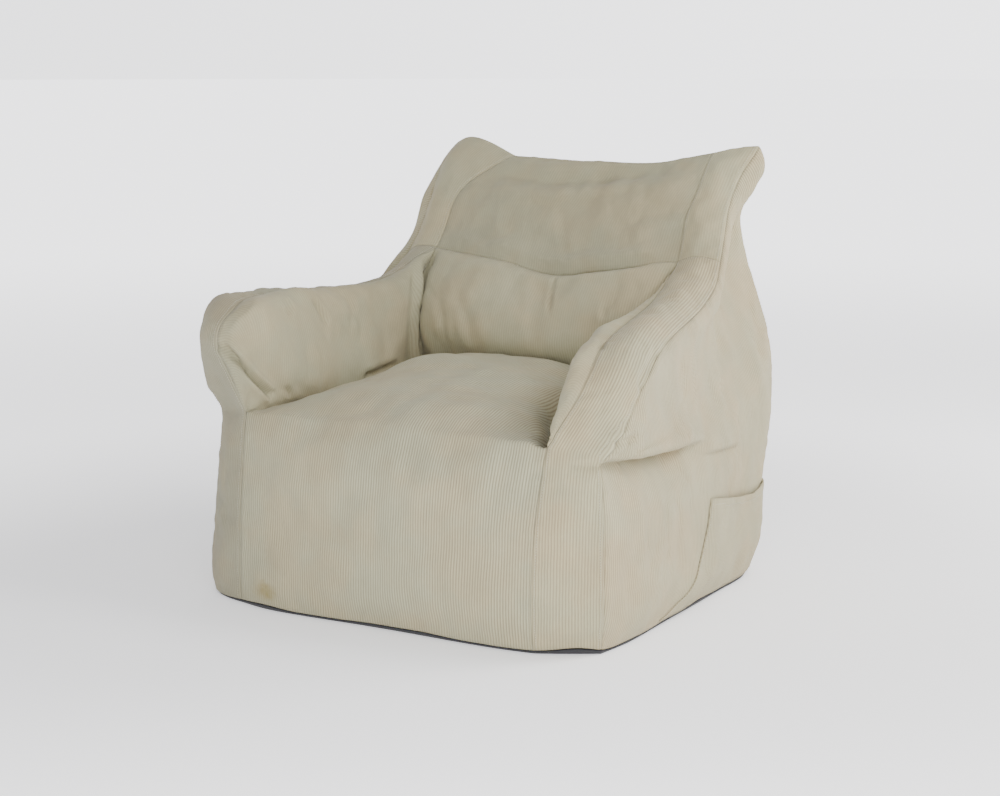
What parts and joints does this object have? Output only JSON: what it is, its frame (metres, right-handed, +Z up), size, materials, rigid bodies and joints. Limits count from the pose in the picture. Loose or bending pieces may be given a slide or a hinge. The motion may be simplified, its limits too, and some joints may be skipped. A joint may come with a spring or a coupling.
{
  "type": "bean bag armchair",
  "caption": "Corduroy bean bag armchair: deep seat, soft arms, lumbar cushion, eared back, side pocket, and a zipped removable cover over bead-filled inner bags",
  "frame": {"origin": "on the floor, under the middle of the bounding box", "axes": "+Z up, front toward -Y, the sitter's left arm and the pocket are on +X"},
  "size_m": [0.8829, 0.8337, 0.8029],
  "materials": {
    "corduroy": "wide-wale corduroy, matt, warm grey-beige",
    "base_cloth": "dark woven base cloth, matt",
    "liner_cloth": "plain woven liner cloth",
    "beads": "expanded polystyrene beads",
    "zip_tape": "woven tape",
    "zip_coil": "nylon coil",
    "zip_metal": "die-cast, painted"
  },
  "bodies": {
    "chair": {"front_seat_panel": "corduroy", "inner_arm_panel_left": "corduroy", "inner_arm_panel_right": "corduroy", "arm_gusset_left": "corduroy", "arm_gusset_right": "corduroy", "wing_gusset_left": "corduroy", "wing_gusset_right": "corduroy", "side_panel_left": "corduroy", "side_panel_right": "corduroy", "lumbar_panel": "corduroy", "headrest_panel": "corduroy", "rear_upper_panel": "corduroy", "rear_lower_panel": "corduroy", "side_pocket": "corduroy", "base_panel": "base_cloth", "seat_liner": "liner_cloth", "back_liner": "liner_cloth", "lumbar_liner": "liner_cloth", "arm_liner_left": "liner_cloth", "arm_liner_right": "liner_cloth", "seat_fill": "beads", "back_fill": "beads", "lumbar_fill": "beads", "arm_fill_left": "beads", "arm_fill_right": "beads", "zip_tape_upper": "zip_tape", "zip_tape_lower": "zip_tape", "zip_coil_upper": "zip_coil", "zip_coil_lower": "zip_coil", "zip_stops": "zip_metal"},
    "slider": {"zip_slider": "zip_metal"},
    "pull": {"zip_pull": "zip_metal"}
  },
  "joints": [
    {"name": "zip_slide", "type": "slide", "parent": "chair", "child": "slider", "axis": [-1, 0, 0], "range_m": [0, 0.444]},
    {"name": "pull_swing", "type": "hinge", "parent": "slider", "child": "pull", "pos_m": [0.219, 0.3812, 0.105], "axis": [0, 0, -1], "range_deg": [0, 175]}
  ]
}
